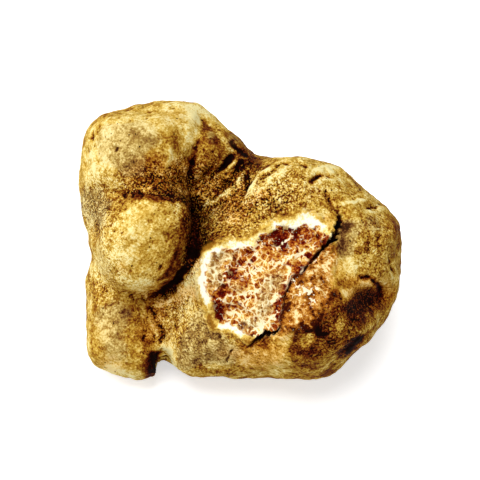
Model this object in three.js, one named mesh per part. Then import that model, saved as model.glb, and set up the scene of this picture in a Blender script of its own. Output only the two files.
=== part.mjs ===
// A white truffle: one knobbly tuber with its skin broken open on the front, lying on a small flat spot.
//
// Its lobes are given in the frame of its broad face: X to the right, Y up across the face, Z out of it.
// The lump then leans back, so that the broad face looks up and forward. The part's own frame has +Z up,
// with the middle of its underside at the origin. Lengths are in millimetres and angles in degrees.
import * as THREE from "three";
import { ImprovedNoise } from "three/addons/math/ImprovedNoise.js";

const LEAN = 35; // how far the broad face is turned forward from facing straight up
const REST_HEIGHT = 21; // from the floor to the middle of the face's frame
const CENTRE_SHIFT = [-0.19, -0.54]; // in X and Y, brings the middle of the whole over the origin
const POINT_SPACING = 1.45; // between neighbouring points of the skin's mesh

// Lobes are ellipsoids: centre, half sizes, and a turn about the face's normal.
const LEFT_LOBES = [
  { name: "crown", at: [-17.5, 14.2, -2.5], half: [11.2, 9.9, 13.2], turn: 0 },
  { name: "crown_peak", at: [-10.8, 17.5, -4], half: [9.2, 6.9, 10.5], turn: -14 },
  { name: "shoulder", at: [-4.2, 14.2, -4.5], half: [9.0, 5.6, 9], turn: -42 },
  { name: "left_flank", at: [-21.2, 3.0, -5], half: [7.4, 11, 10], turn: 0 },
  { name: "neck", at: [-21.8, -9.5, -5.5], half: [5.8, 8.0, 8], turn: 0 },
  { name: "foot", at: [-21.0, -17.8, -4.5], half: [6.8, 7.0, 8], turn: 0 },
  { name: "toe", at: [-17.6, -21.4, -4.5], half: [3.3, 3.8, 5.5], turn: 0 },
  { name: "web", at: [-13.2, -10.6, -7], half: [7, 7.4, 7], turn: 0 },
  { name: "left_back", at: [-15, 2, -12], half: [9, 10, 7], turn: 0 },
];
const KNOB_LOBES = [
  { name: "knob", at: [-17.5, 0.0, 5.2], half: [8.0, 9.2, 8.8], turn: 0 },
  { name: "knob_corner", at: [-13.4, 4.8, 5.5], half: [4.6, 5.0, 7.0], turn: 0 },
];
const RIGHT_LOBES = [
  { name: "body", at: [8.2, -5.2, -1.5], half: [17.4, 17, 15.5], turn: 0 },
  { name: "lip", at: [-2.4, -6.8, 3], half: [6.0, 9.4, 9.5], turn: 8 },
  { name: "body_left", at: [-4.0, -16.2, -2.5], half: [9.0, 8.2, 10], turn: 0 },
  { name: "left_heel", at: [-8.0, -19.6, -3], half: [4.4, 4.6, 7], turn: 0 },
  { name: "belly", at: [11.0, -12.3, 4.5], half: [13, 11.2, 12.2], turn: 0 },
  { name: "heel", at: [8.5, -17.2, -2], half: [11, 7.2, 10], turn: 2 },
  { name: "cheek", at: [18.6, -1.4, -1], half: [10.2, 10.6, 12], turn: 8 },
  { name: "temple", at: [19.6, 1.8, -2], half: [7.2, 6.4, 10], turn: 0 },
  { name: "low_cheek", at: [18.2, -8.4, -1], half: [8.8, 8.6, 10.5], turn: 0 },
  { name: "brow", at: [10.4, 6.6, -1.5], half: [11.8, 8.6, 11], turn: -16 },
  { name: "cleft_floor", at: [-10.5, -3, -5.8], half: [5.0, 8.5, 9.6], turn: 0 },
  { name: "saddle", at: [-0.8, 7.6, -4.5], half: [7.5, 7.5, 8.5], turn: -30 },
  { name: "underside", at: [2, -5, -11], half: [17, 13, 10], turn: 0 },
  { name: "back_knob", at: [14, 4, -12], half: [9, 7, 8.5], turn: 20 },
  { name: "back_hump", at: [-2, 6, -11], half: [8, 6.5, 8.5], turn: -10 },
];
const LOBE_BLEND = 4.5; // how softly lobes of one group run together
const CLEFT_BLEND = 2.4; // and how sharply the left and right groups meet
const KNOB_BLEND = 3.2; // the knob runs into the flank behind it

// The skin's own swelling: a height for each length, from slow to quick.
const SWELLS = [
  { length: 9, height: 0.8 },
  { length: 4.2, height: 0.4 },
];
const SWELL_START = new THREE.Vector3(31.7, 11.3, 5.9); // where in the noise the lump is taken from

// Furrows pressed into the lump: a path across the broad face, with its width and depth. A side of 1 is
// the front, and -1 the back.
const FURROWS = [
  { name: "crown_crease", path: [[-6.3, 21.7], [-7.7, 16], [-9, 9.8]], width: 1.3, depth: 1, side: 1 },
  { name: "shoulder_fold", path: [[-8.6, 9.6], [-4.8, 11.9], [-1.4, 15.1]], width: 1.2, depth: 1, side: 1 },
  { name: "saddle_fold", path: [[-3, 8.5], [0.7, 9.6], [1.8, 12.4]], width: 1.3, depth: 0.7, side: 1 },
  { name: "cheek_hollow", path: [[20.6, -10.3], [22.4, -10], [24.0, -9.5]], width: 2.2, depth: 2.2, side: 1 },
  { name: "back_crease", path: [[8, 14], [6, 3], [12, -8]], width: 2.2, depth: 1.6, side: -1 },
  { name: "flank_crease", path: [[-22, 5], [-16, 8], [-10, 4]], width: 2.0, depth: 1.3, side: -1 },
];

// The break: where the skin is torn off and the marbled flesh lies open, a little below the skin.
const BREAK_OUTLINE = [
  [-7.2, -7.6], [-5.9, -1.9], [-0.5, -0.5], [3.9, 1.5], [8.6, 3.8], [13.4, 4.6], [16.6, 2.4],
  [17.6, -2.2], [17.0, -7.6], [15.6, -13.3], [11.0, -16.7], [7.0, -17.6], [2.4, -17.9],
  [-1.6, -16.4], [-5.0, -14.7],
];
const BREAK_DEPTH = 1.7; // under its left and upper edges
const BREAK_DEPTH_RIGHT = 0.6; // and under its right edge, where it runs out into the skin
const BREAK_FADE_ACROSS = [6, 17]; // from the one depth to the other between these X
const BREAK_WALL = 2.0; // how far in from its edge the floor is reached

// From the face's frame to the part's: the lump leans back and stands on the floor.
const lean = THREE.MathUtils.degToRad(LEAN);
const toPart = new THREE.Matrix4()
  .makeTranslation(...CENTRE_SHIFT, REST_HEIGHT)
  .multiply(new THREE.Matrix4().makeRotationX(lean));

function smoothMin(a, b, blend) {
  const h = Math.max(blend - Math.abs(a - b), 0) / blend;
  return Math.min(a, b) - (h * h * blend) / 4;
}

// Distance from a point to an ellipsoid, close to the truth near its surface.
function lobeDistance(lobe, p) {
  const turn = THREE.MathUtils.degToRad(lobe.turn);
  const [cx, cy, cz] = lobe.at;
  const [rx, ry, rz] = lobe.half;
  const dx = p.x - cx;
  const dy = p.y - cy;
  const x = (dx * Math.cos(turn) + dy * Math.sin(turn)) / rx;
  const y = (dy * Math.cos(turn) - dx * Math.sin(turn)) / ry;
  const z = (p.z - cz) / rz;
  const k0 = Math.hypot(x, y, z);
  const k1 = Math.hypot(x / rx, y / ry, z / rz);
  return k1 === 0 ? -Math.min(rx, ry, rz) : (k0 * (k0 - 1)) / k1;
}

function groupDistance(lobes, p) {
  return lobes.map((lobe) => lobeDistance(lobe, p)).reduce((a, b) => smoothMin(a, b, LOBE_BLEND));
}

const noise = new ImprovedNoise();
function swell(p) {
  const heights = SWELLS.map(({ length, height }) => {
    const at = p.clone().divideScalar(length).add(SWELL_START);
    return height * noise.noise(at.x, at.y, at.z);
  });
  return heights.reduce((sum, height) => sum + height, 0);
}

// Distance across the face from a point to a chain of short straight steps.
function chainDistance(chain, x, y) {
  let least = Infinity;
  for (let i = 1; i < chain.length; i++) {
    const [a, b] = [chain[i - 1], chain[i]];
    const along = ((x - a.x) * (b.x - a.x) + (y - a.y) * (b.y - a.y)) / a.distanceToSquared(b);
    const t = THREE.MathUtils.clamp(along, 0, 1);
    least = Math.min(least, Math.hypot(x - a.x - t * (b.x - a.x), y - a.y - t * (b.y - a.y)));
  }
  return least;
}

// A smooth curve through points of the face, as short straight steps.
const STEPS_BETWEEN_POINTS = 4;
function chain(points) {
  const curve = new THREE.SplineCurve(points.map(([x, y]) => new THREE.Vector2(x, y)));
  return curve.getPoints(STEPS_BETWEEN_POINTS * points.length);
}

const furrows = FURROWS.map((furrow) => ({ ...furrow, chain: chain(furrow.path) }));
const breakEdge = chain([...BREAK_OUTLINE, BREAK_OUTLINE[0]]);

// How far a point of the face lies inside the break's edge: negative outside it.
function inset(x, y) {
  let inside = false;
  for (let i = 1; i < breakEdge.length; i++) {
    const [a, b] = [breakEdge[i - 1], breakEdge[i]];
    if (a.y > y !== b.y > y && x < a.x + ((y - a.y) * (b.x - a.x)) / (b.y - a.y)) inside = !inside;
  }
  return (inside ? 1 : -1) * chainDistance(breakEdge, x, y);
}

// 1 on the side of the lump that z points to, fading to 0 just past its rim.
const facing = (z) => THREE.MathUtils.smoothstep(z, -4, 2);

// How far the furrows and the break lower the skin at a point.
function sunk(p) {
  const pressed = furrows.map(
    ({ chain, width, depth, side }) =>
      depth * Math.exp(-((chainDistance(chain, p.x, p.y) / width) ** 2)) * facing(p.z * side),
  );
  const rightward = THREE.MathUtils.smoothstep(p.x, ...BREAK_FADE_ACROSS);
  const floor = THREE.MathUtils.lerp(BREAK_DEPTH, BREAK_DEPTH_RIGHT, rightward);
  const down = THREE.MathUtils.smoothstep(inset(p.x, p.y), 0, BREAK_WALL);
  return Math.max(...pressed) + floor * down * facing(p.z);
}

// Signed distance from a point of the face's frame to the skin: negative inside. Relief is left out
// where the skin is further off than it could reach.
const RELIEF_REACH = 6;
function skinDistance(p) {
  const underFloor = -(REST_HEIGHT + p.y * Math.sin(lean) + p.z * Math.cos(lean));
  const left = smoothMin(groupDistance(LEFT_LOBES, p), groupDistance(KNOB_LOBES, p), KNOB_BLEND);
  const lump = smoothMin(left, groupDistance(RIGHT_LOBES, p), CLEFT_BLEND);
  if (Math.abs(lump) > RELIEF_REACH) return Math.max(lump, underFloor);
  return Math.max(lump - swell(p) + sunk(p), underFloor);
}

// The corners of a grid cell, one bit for each axis, its edges, and the ring of edges round each face.
const CORNERS = [0, 1, 2, 3, 4, 5, 6, 7];
const EDGES = CORNERS.flatMap((a) => [1, 2, 4].filter((bit) => !(a & bit)).map((bit) => [a, a | bit]));
const edgeBetween = (a, b) => EDGES.findIndex(([low, high]) => low === (a & b) && high === (a | b));
const FACE_RINGS = [1, 2, 4].flatMap((bit) => {
  const [u, v] = [1, 2, 4].filter((other) => other !== bit);
  return [0, bit].map((side) => {
    const ring = [side, side | u, side | u | v, side | v];
    return ring.map((corner, n) => ({ corner, edge: edgeBetween(corner, ring[(n + 1) % 4]) }));
  });
});

// Sorts a cell's crossed edges into the separate sheets of surface that pass through the cell.
function sheetsOf(inside) {
  const crossed = EDGES.map(([a, b]) => inside[a] !== inside[b]);
  const sheet = EDGES.map((edge, n) => n);
  const join = (a, b) => {
    const [from, to] = [sheet[a], sheet[b]];
    sheet.forEach((s, n) => {
      if (s === from) sheet[n] = to;
    });
  };
  for (const ring of FACE_RINGS) {
    const cut = ring.filter(({ edge }) => crossed[edge]);
    if (cut.length === 2) join(cut[0].edge, cut[1].edge);
    if (cut.length === 4)
      ring.forEach(({ corner, edge }, n) => {
        if (inside[corner]) join(edge, ring[(n + 3) % 4].edge);
      });
  }
  const groups = new Map();
  crossed.forEach((isCrossed, n) => {
    if (isCrossed) groups.set(sheet[n], [...(groups.get(sheet[n]) ?? []), n]);
  });
  return [...groups.values()];
}

function forEachCell(from, to, visit) {
  for (let k = from[2]; k < to[2]; k++)
    for (let j = from[1]; j < to[1]; j++)
      for (let i = from[0]; i < to[0]; i++)
        visit(i, j, k);
}

// A closed quad skin over the zero level of a distance: one point for each sheet of surface in a grid
// cell, and one quad round each grid edge that the surface crosses.
function skinGeometry(distance, box, spacing) {
  const size = box.getSize(new THREE.Vector3());
  const [nx, ny, nz] = size.toArray().map((length) => Math.ceil(length / spacing) + 1);
  const index = (i, j, k) => i + nx * (j + ny * k);
  const place = (i, j, k) => new THREE.Vector3(i, j, k).multiplyScalar(spacing).add(box.min);
  const value = new Float64Array(nx * ny * nz);
  forEachCell([0, 0, 0], [nx, ny, nz], (i, j, k) => {
    value[index(i, j, k)] = distance(place(i, j, k));
  });

  const positions = [];
  const pointOf = new Map();
  const addCell = (i, j, k) => {
    const corners = CORNERS.map((c) => [i + (c & 1), j + ((c >> 1) & 1), k + ((c >> 2) & 1)]);
    const values = corners.map((c) => value[index(...c)]);
    for (const edges of sheetsOf(values.map((v) => v < 0))) {
      const middle = new THREE.Vector3();
      for (const [a, b] of edges.map((n) => EDGES[n]))
        middle.add(place(...corners[a]).lerp(place(...corners[b]), values[a] / (values[a] - values[b])));
      for (const n of edges) pointOf.set(EDGES.length * index(i, j, k) + n, positions.length / 3);
      positions.push(...settle(distance, middle.divideScalar(edges.length), spacing).toArray());
    }
  };
  forEachCell([0, 0, 0], [nx - 1, ny - 1, nz - 1], addCell);

  const indices = [];
  const addQuads = (i, j, k) =>
    [0, 1, 2].forEach((axis) => {
      const there = [i, j, k].map((n, m) => n + (m === axis));
      const leaves = value[index(i, j, k)] < 0;
      if (leaves === value[index(...there)] < 0) return;
      const [u, v] = [(axis + 1) % 3, (axis + 2) % 3];
      const [a, b, c, d] = [[0, 0], [1, 0], [1, 1], [0, 1]].map(([du, dv]) => {
        const cell = [i, j, k];
        cell[u] -= du;
        cell[v] -= dv;
        const corner = (du << u) | (dv << v);
        return pointOf.get(EDGES.length * index(...cell) + edgeBetween(corner, corner | (1 << axis)));
      });
      indices.push(...(leaves ? [a, b, c, a, c, d] : [a, c, b, a, d, c]));
    });
  forEachCell([1, 1, 1], [nx - 1, ny - 1, nz - 1], addQuads);

  const geometry = new THREE.BufferGeometry();
  geometry.setAttribute("position", new THREE.Float32BufferAttribute(positions, 3));
  geometry.setIndex(indices);
  geometry.computeVertexNormals();
  return geometry;
}

// Moves a point on to the surface, by no more than half a cell, in a few steps down its slope.
const SETTLE_ROUNDS = 4;
const LEAST_SLOPE = 0.45; // a flatter slope than this would throw the point too far
function settle(distance, point, spacing) {
  const step = 0.02;
  const start = point.clone();
  const at = (x, y, z) => distance(new THREE.Vector3(point.x + x, point.y + y, point.z + z));
  for (let round = 0; round < SETTLE_ROUNDS; round++) {
    const slope = new THREE.Vector3(
      at(step, 0, 0) - at(-step, 0, 0),
      at(0, step, 0) - at(0, -step, 0),
      at(0, 0, step) - at(0, 0, -step),
    ).divideScalar(2 * step);
    point.addScaledVector(slope, -at(0, 0, 0) / Math.max(slope.lengthSq(), LEAST_SLOPE ** 2));
  }
  const moved = point.sub(start).clampLength(0, spacing / 2);
  return moved.add(start);
}

const space = new THREE.Box3(new THREE.Vector3(-34, -29, -26), new THREE.Vector3(34, 29, 22));
const skin = skinGeometry(skinDistance, space, POINT_SPACING).applyMatrix4(toPart);
const ochre = new THREE.MeshStandardMaterial({ color: 0xb08d4c, roughness: 0.9 });
const truffle = new THREE.Mesh(skin, ochre);
truffle.name = "truffle";

const part = new THREE.Group();
part.add(truffle);
export default part;
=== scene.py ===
"""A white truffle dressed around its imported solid.

The solid's skin is copied as an even mesh, and the fine forms are worked into it: folds, furrows, pores,
the torn patch with its white edge, and the splits across it. One finish covers skin and flesh. Lengths are
in millimetres and places are in the frame of the broad face (X right, Y up across it, Z out of it), unless
a name says otherwise.
"""
import math

import bmesh
import bpy
import numpy as np
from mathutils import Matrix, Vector, noise
from mathutils.bvhtree import BVHTree


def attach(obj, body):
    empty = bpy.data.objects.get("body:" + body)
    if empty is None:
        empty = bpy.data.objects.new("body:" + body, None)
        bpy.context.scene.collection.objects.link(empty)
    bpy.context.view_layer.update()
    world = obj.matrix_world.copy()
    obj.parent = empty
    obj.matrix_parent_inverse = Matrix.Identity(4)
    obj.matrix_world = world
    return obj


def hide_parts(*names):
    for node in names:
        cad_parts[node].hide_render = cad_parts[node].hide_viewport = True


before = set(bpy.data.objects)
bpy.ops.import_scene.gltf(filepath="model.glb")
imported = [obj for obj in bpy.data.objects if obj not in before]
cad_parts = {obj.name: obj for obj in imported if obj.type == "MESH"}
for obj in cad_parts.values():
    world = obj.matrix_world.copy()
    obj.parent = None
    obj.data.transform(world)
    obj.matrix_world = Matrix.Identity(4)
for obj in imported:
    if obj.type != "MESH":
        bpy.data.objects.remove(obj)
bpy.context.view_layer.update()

MM = 0.001
LEAN = math.radians(35)  # the broad face is tipped forward this far from facing straight up
FACE_MIDDLE = np.array([-0.19, -0.54, 21.0])  # of the broad face, in the part's frame
FACE_AXES = np.array([
    [1, 0, 0],
    [0, math.cos(LEAN), math.sin(LEAN)],
    [0, -math.sin(LEAN), math.cos(LEAN)],
])


def to_face(points):
    """Points of the part's frame, in metres, as places on the broad face."""
    return (points / MM - FACE_MIDDLE) @ FACE_AXES.T


def from_face(places):
    return (places @ FACE_AXES + FACE_MIDDLE) * MM


def as_seen(places):
    """Places on the face carried to its middle plane along lines from the eye, VIEW_DISTANCE in front."""
    seen = places.copy()
    seen[:, :2] *= VIEW_DISTANCE / (VIEW_DISTANCE - places[:, 2:])
    return seen


def smoothstep(low, high, x):
    t = np.clip((x - low) / (high - low), 0, 1)
    return t * t * (3 - 2 * t)


def bell(away, half_width):
    """1 at no distance, falling smoothly to about a third at the half width."""
    return np.exp(-((away / half_width) ** 2))


def noise_field(places, length, start):
    """Smooth noise, about -1 to 1, whose features are some `length` across. Each `start` reads another
    stretch of it, so that no two uses are alike."""
    return np.array([noise.fractal(Vector(p), 1.0, 2.0, 1) for p in places / length + start])


def ridge_field(places, length, start):
    """Sharp-crested noise, highest at 1 along wandering crests."""
    return 1 - np.abs(noise_field(places, length, start)) * 2


# ----------------------------------------------------------
# The camera looks square at the broad face; the lamps are soft, from above, the left and the front.

VIEW_WIDTH = 85.92  # of the picture, at the middle of the face
LENS = 100.0
SENSOR = 36.0
VIEW_DISTANCE = VIEW_WIDTH * LENS / SENSOR

# Distant lamps: the direction each shines from, its strength, and its softness in degrees.
LAMPS = {
    "key": ((-0.14, 0.0, 0.99), 2.05, 36),
    "side": ((-0.9, 0.1, 0.45), 1.35, 64),
    "front": ((-0.1, -0.9, 0.4), 0.6, 60),
}
ROOM_LIGHT = 0.28
FLOOR_HALF_WIDTH = 3.0  # metres
FLOOR_GLOW = 0.5  # lifts the lit floor to white, and leaves the shadow on it


def add_camera():
    data = bpy.data.cameras.new("view")
    data.lens = LENS
    data.sensor_width = SENSOR
    data.clip_start = 0.01
    camera = bpy.data.objects.new("view", data)
    bpy.context.scene.collection.objects.link(camera)
    square_on = Vector(FACE_AXES[2])
    camera.location = Vector(FACE_MIDDLE) * MM + square_on * VIEW_DISTANCE * MM
    camera.rotation_euler = (LEAN, 0, 0)
    bpy.context.scene.camera = camera


def add_lamps():
    for name, (toward, strength, softness) in LAMPS.items():
        data = bpy.data.lights.new(name, "SUN")
        data.energy = strength
        data.angle = math.radians(softness)
        lamp = bpy.data.objects.new(name, data)
        lamp.rotation_euler = Vector(toward).to_track_quat("Z", "Y").to_euler()
        bpy.context.scene.collection.objects.link(lamp)


# ----------------------------------------------------------
# Finishes: arithmetic on node sockets, and one method that adds any node.

def srgb(red, green, blue):
    """A colour given as 0 to 255 on a screen, as the shader's linear values."""
    def linear(c):
        c /= 255
        return c / 12.92 if c <= 0.04045 else ((c + 0.055) / 1.055) ** 2.4
    return (linear(red), linear(green), linear(blue), 1.0)


WHITE = (1, 1, 1, 1)


class Shade:
    """A value in a finish. Arithmetic on it adds Math nodes."""

    def __init__(self, finish, socket):
        self.finish = finish
        self.socket = socket

    def _math(self, operation, first, second):
        return self.finish.node("Math", {"operation": operation}, {0: first, 1: second})

    def __add__(self, other):
        return self._math("ADD", self, other)

    def __radd__(self, other):
        return self._math("ADD", other, self)

    def __sub__(self, other):
        return self._math("SUBTRACT", self, other)

    def __rsub__(self, other):
        return self._math("SUBTRACT", other, self)

    def __mul__(self, other):
        return self._math("MULTIPLY", self, other)

    def __rmul__(self, other):
        return self._math("MULTIPLY", other, self)


class Finish:
    """The nodes of a material, or of the room's light, being built up."""

    def __init__(self, owner):
        self.owner = owner
        owner.use_nodes = True
        self.tree = owner.node_tree
        self.tree.nodes.clear()

    def node(self, kind, settings, sockets, output=0):
        """Adds a node: its settings, then its sockets' values or links, and gives one of its outputs."""
        made = self.tree.nodes.new("ShaderNode" + kind)
        for name, value in settings.items():
            setattr(made, name, value)
        for key, value in sockets.items():
            if isinstance(value, Shade):
                self.tree.links.new(value.socket, made.inputs[key])
            else:
                made.inputs[key].default_value = value
        return Shade(self, made.outputs[output]) if output is not None else None

    def seen_or_else(self, seen, unseen):
        """One shader where the eye looks, straight or by way of a mirror or glass; another for all else."""
        rays = [self.node("LightPath", {}, {}, f"Is {kind} Ray") for kind in ("Camera", "Glossy", "Transmission")]
        return self.node("MixShader", {}, {0: rays[0] + rays[1] + rays[2], 1: unseen, 2: seen}, 0)

    def attribute(self, name, output="Fac"):
        return self.node("Attribute", {"attribute_name": name}, {}, output)

    def cloud(self, place, size, detail=2.0, roughness=0.5):
        """Noise from 0 to 1, whose features are some `size` across."""
        return self.node("TexNoise", {}, {
            "Vector": place, "Scale": 1 / size, "Detail": detail, "Roughness": roughness}, "Fac")

    def cells(self, place, size, feature, output):
        return self.node("TexVoronoi", {"feature": feature}, {"Vector": place, "Scale": 1 / size}, output)

    def cell_number(self, place, size):
        """A number from 0 to 1 that is one for each cell, and drawn by chance."""
        return self.node("SeparateColor", {}, {0: self.cells(place, size, "F1", "Color")}, "Red")

    def between(self, low, high, value):
        """0 at low and before it, 1 at high and past it, and smooth from one to the other."""
        return self.node("MapRange", {"interpolation_type": "SMOOTHSTEP"}, {
            "Value": value, "From Min": low, "From Max": high}, "Result")

    def blend(self, share, colour, other, how="MIX"):
        """`colour` where share is 0, `other` where it is 1."""
        return self.node("Mix", {"data_type": "RGBA", "blend_type": how}, {
            0: share, 6: colour, 7: other}, 2)

    def ramp(self, value, stops):
        """A colour that runs through the stops, each a value and its colour, as `value` rises."""
        colour = srgb(*stops[0][1])
        for (low, _), (high, next_colour) in zip(stops, stops[1:]):
            colour = self.blend(self.between(low, high, value), colour, srgb(*next_colour))
        return colour

    def vector(self, operation, first, second):
        return self.node("VectorMath", {"operation": operation}, {0: first, 1: second}, "Vector")

    def shifted(self, place, size, reach):
        """The place moved about by noise, up to `reach` each way."""
        cloud = self.node("TexNoise", {}, {"Vector": place, "Scale": 1 / size}, "Color")
        offset = self.vector("SUBTRACT", cloud, (0.5, 0.5, 0.5))
        return self.vector("ADD", place, self.vector("MULTIPLY", offset, (2 * reach,) * 3))


# ----------------------------------------------------------
# The skin's mesh.

SKIN_STEP = 0.7  # between points of the even mesh; it is halved over the broad face
SAME_POINT = 0.005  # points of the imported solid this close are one
FACE_BACK = -5  # Z behind which the mesh stays coarse
TORN_REACH = 1.6  # outside the torn patch, where the mesh is halved once more
TORN_BACK = 2  # Z behind which it isn't


def object_of(name, mesh):
    made = bpy.data.objects.new(name, mesh)
    bpy.context.scene.collection.objects.link(made)
    return made


def with_modifier(mesh, kind, **settings):
    """The mesh after one modifier."""
    holder = object_of("holder", mesh)
    modifier = holder.modifiers.new(kind, kind)
    for name, value in settings.items():
        setattr(modifier, name, value)
    shaped = holder.evaluated_get(bpy.context.evaluated_depsgraph_get())
    made = bpy.data.meshes.new_from_object(shaped)
    bpy.data.objects.remove(holder)
    return made


def points_of(mesh):
    points = np.empty(3 * len(mesh.vertices))
    mesh.vertices.foreach_get("co", points)
    return points.reshape(-1, 3)


def normals_of(mesh):
    normals = np.empty(3 * len(mesh.vertices), np.float32)
    mesh.vertex_normals.foreach_get("vector", normals)
    return normals.reshape(-1, 3).astype(float)


def set_points(mesh, points):
    mesh.vertices.foreach_set("co", points.ravel())
    mesh.update()


def edges_of(mesh):
    edges = np.empty(2 * len(mesh.edges), np.int32)
    mesh.edges.foreach_get("vertices", edges)
    return edges.reshape(-1, 2)


def neighbour_mean(values, edges):
    count = np.bincount(edges.ravel(), minlength=len(values))
    total = np.zeros_like(values)
    for axis in range(values.shape[1]):
        for near, far in (edges.T, edges.T[::-1]):
            total[:, axis] += np.bincount(near, values[far, axis], len(values))
    return total / count[:, None]


def smoothed(points, edges, rounds):
    """Points drawn toward their neighbours, and pushed back out so that the whole doesn't shrink."""
    draw_in, push_out = 0.5, 0.53
    for _ in range(rounds):
        points = points + draw_in * (neighbour_mean(points, edges) - points)
        points = points - push_out * (neighbour_mean(points, edges) - points)
    return points


def calmed(values, edges, rounds, share=None):
    """Values drawn toward their neighbours' mean, by each point's share of the way."""
    share = 1.0 if share is None else share[:, None]
    for _ in range(rounds):
        values = values + share * 0.5 * (neighbour_mean(values, edges) - values)
    return values


def even_skin():
    """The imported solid's surface as an even, smooth mesh."""
    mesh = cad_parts["truffle"].data.copy()
    bm = bmesh.new()
    bm.from_mesh(mesh)
    bmesh.ops.remove_doubles(bm, verts=bm.verts, dist=SAME_POINT * MM)
    bm.to_mesh(mesh)
    bm.free()
    mesh = with_modifier(mesh, "REMESH", mode="VOXEL", voxel_size=SKIN_STEP * MM)
    mesh.materials.clear()
    set_points(mesh, smoothed(points_of(mesh), edges_of(mesh), 10))
    return mesh


def halve_edges(mesh, wanted):
    """Cuts every edge between wanted points in two, and its faces with it, and smooths the result."""
    bm = bmesh.new()
    bm.from_mesh(mesh)
    bm.verts.ensure_lookup_table()
    edges = [edge for edge in bm.edges if wanted[edge.verts[0].index] and wanted[edge.verts[1].index]]
    bmesh.ops.subdivide_edges(bm, edges=edges, cuts=1, use_grid_fill=True)
    bm.to_mesh(mesh)
    bm.free()
    set_points(mesh, smoothed(points_of(mesh), edges_of(mesh), 3))


# ----------------------------------------------------------
# Lines and outlines drawn on the face.

def curve_through(points, closed=False):
    """A smooth curve through points, as short straight steps."""
    points = np.array(points, float)
    if closed:
        padded = np.vstack([points[-1:], points, points[:2]])
    else:
        padded = np.vstack([2 * points[:1] - points[1:2], points, 2 * points[-1:] - points[-2:-1]])
    t = np.linspace(0, 1, 6, endpoint=False)[:, None]
    spans = []
    for a, b, c, d in zip(padded, padded[1:], padded[2:], padded[3:]):
        spans.append(0.5 * (2 * b + (c - a) * t + (2 * a - 5 * b + 4 * c - d) * t**2
                            + (3 * b - a - 3 * c + d) * t**3))
    return np.vstack(spans + [padded[-2:-1]])


def distance_to(curve, places):
    """How far each place is from the curve, how far along it the nearest point lies (0 to 1), which side
    the place is on (1 is left of its run), and the curve's third value there."""
    best = np.full(len(places), np.inf)
    along, side, third = np.zeros((3, len(places)))
    x, y = places[:, 0], places[:, 1]
    steps = len(curve) - 1
    for n, (a, b) in enumerate(zip(curve, curve[1:])):
        dx, dy = (b - a)[:2]
        t = np.clip(((x - a[0]) * dx + (y - a[1]) * dy) / (dx * dx + dy * dy), 0, 1)
        away = np.hypot(x - a[0] - t * dx, y - a[1] - t * dy)
        nearer = away < best
        best = np.where(nearer, away, best)
        along = np.where(nearer, (n + t) / steps, along)
        side = np.where(nearer, np.sign(dx * (y - a[1]) - dy * (x - a[0])), side)
        if curve.shape[1] > 2:
            third = np.where(nearer, a[2] + t * (b[2] - a[2]), third)
    return best, along, side, third


def inset_in(outline, places):
    """How far each place lies inside the closed outline; negative outside."""
    curve = curve_through(outline, closed=True)
    inside = np.zeros(len(places), bool)
    x, y = places[:, 0], places[:, 1]
    for a, b in zip(curve, curve[1:]):
        if a[1] != b[1]:
            crosses = (a[1] > y) != (b[1] > y)
            inside ^= crosses & (x < a[0] + (y - a[1]) * (b[0] - a[0]) / (b[1] - a[1]))
    return np.where(inside, 1, -1) * distance_to(curve, places)[0]


def wandered(places, length, reach, start):
    """Places moved about by noise, so that a line drawn through them isn't drawn true."""
    moved = places.copy()
    moved[:, 0] += reach * noise_field(places, length, start)
    moved[:, 1] += reach * noise_field(places, length, start + 40)
    return moved


def patchwork(patches, places, start, reach=0.9):
    """The sum of soft patches at each place, with edges that wander by up to `reach`. A patch is
    (X, Y, half width, half height, strength)."""
    drawn = wandered(places, 3.0, reach, start)
    total = np.zeros(len(places))
    for x, y, half_x, half_y, strength in patches:
        away = ((drawn[:, 0] - x) / half_x) ** 2 + ((drawn[:, 1] - y) / half_y) ** 2
        total += strength * np.exp(-(away**1.3))
    return total


def linework(lines, places, start):
    """The sum of soft lines at each place. A line is (path, half width, strength)."""
    drawn = wandered(places, 1.6, 0.4, start)
    total = np.zeros(len(places))
    for path, half_width, strength in lines:
        total += strength * np.exp(-((distance_to(curve_through(path), drawn)[0] / half_width) ** 3))
    return total


# ----------------------------------------------------------
# The skin's relief.

# Toward the back, each of these fades out between two values of Z: nothing at the first, all at the second.
TORN_FADE = (-2, 3)
FOLD_FADE = (-9, -4)
TONE_FADE = (-7, -2)
FOOT_FADE = (0.0, 1.6)  # height above the floor over which the relief sets in

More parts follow.
